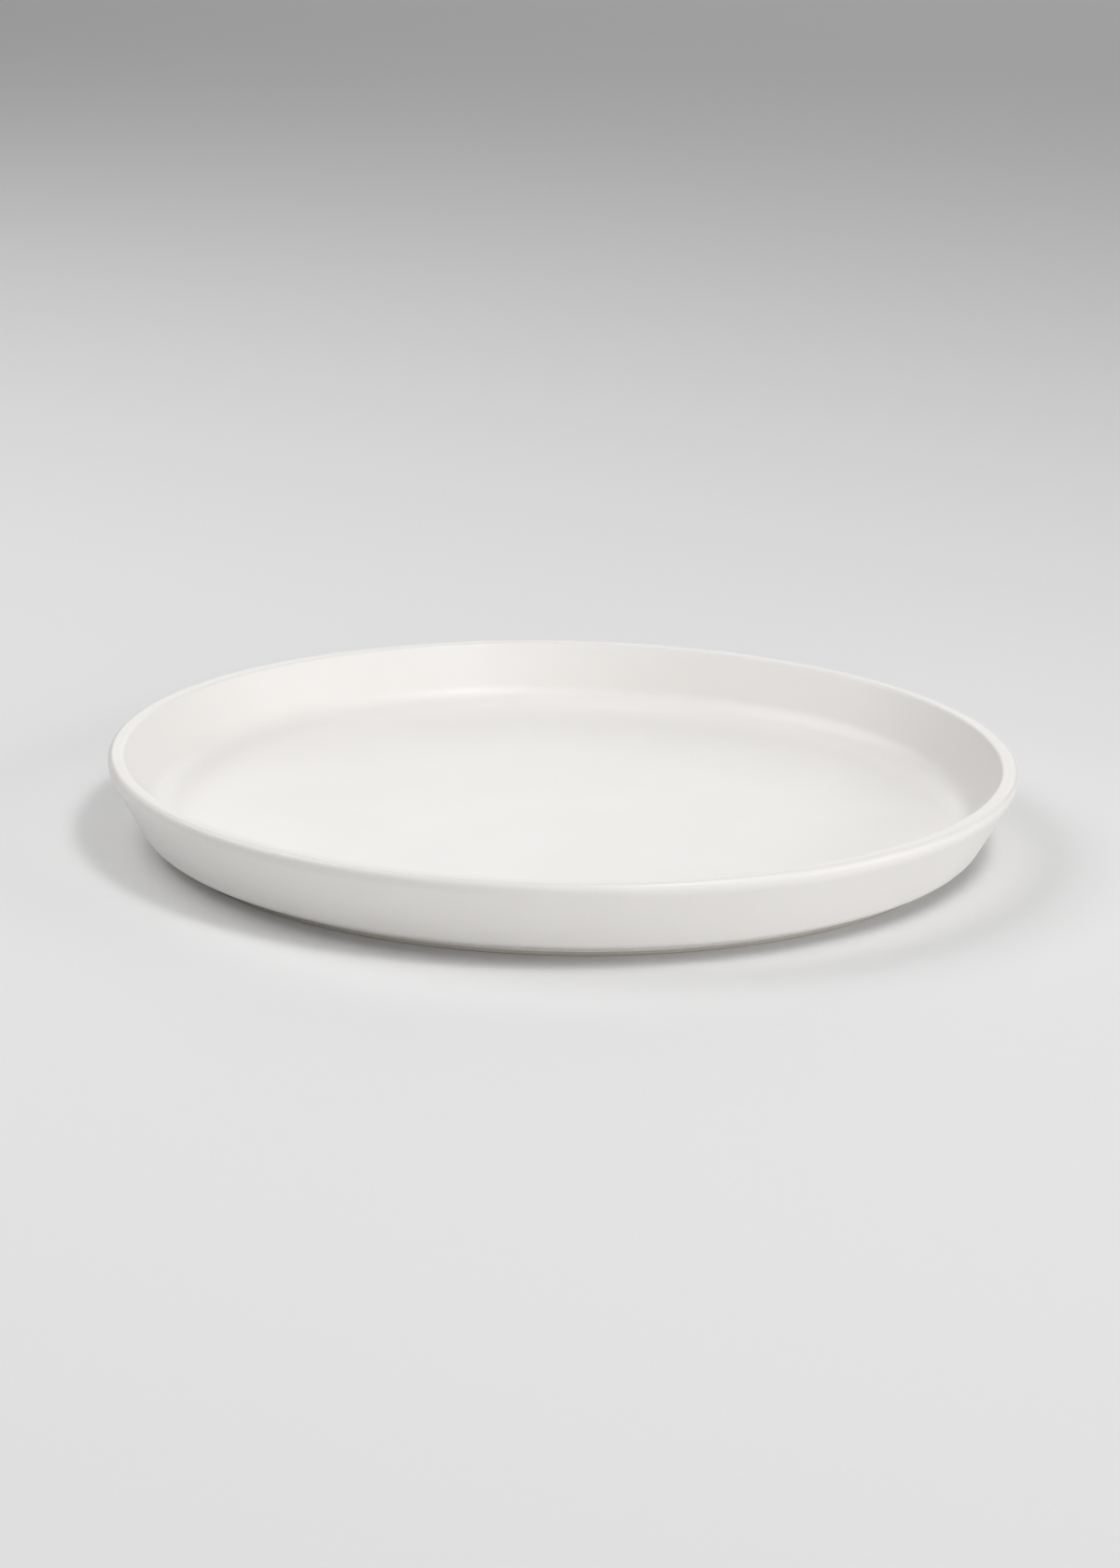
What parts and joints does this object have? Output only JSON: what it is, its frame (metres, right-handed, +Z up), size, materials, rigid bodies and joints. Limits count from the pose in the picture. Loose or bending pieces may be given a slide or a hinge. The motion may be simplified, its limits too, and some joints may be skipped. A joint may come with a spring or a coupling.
{
  "type": "dinner plate",
  "caption": "Round dinner plate with a flat well, a rounded cove, a straight flared wall with a soft lip and a low inset foot ring, in a satin off-white glaze.",
  "frame": {"origin": "on the plate's axis, at the table that its foot ring stands on", "axes": "+Z up along the plate's axis, out of the well; X and Y lie in the table's plane, and any turn about Z is alike"},
  "size_m": [0.27, 0.27, 0.0257],
  "materials": {
    "bare_stoneware": "bare fired clay, fine-grained and matt",
    "satin_glaze": "satin off-white glaze",
    "underside_glaze": "satin off-white glaze"
  },
  "bodies": {
    "root": {"stoneware_body": "bare_stoneware", "glaze_coat": "satin_glaze", "underside_glaze": "underside_glaze"}
  },
  "joints": []
}
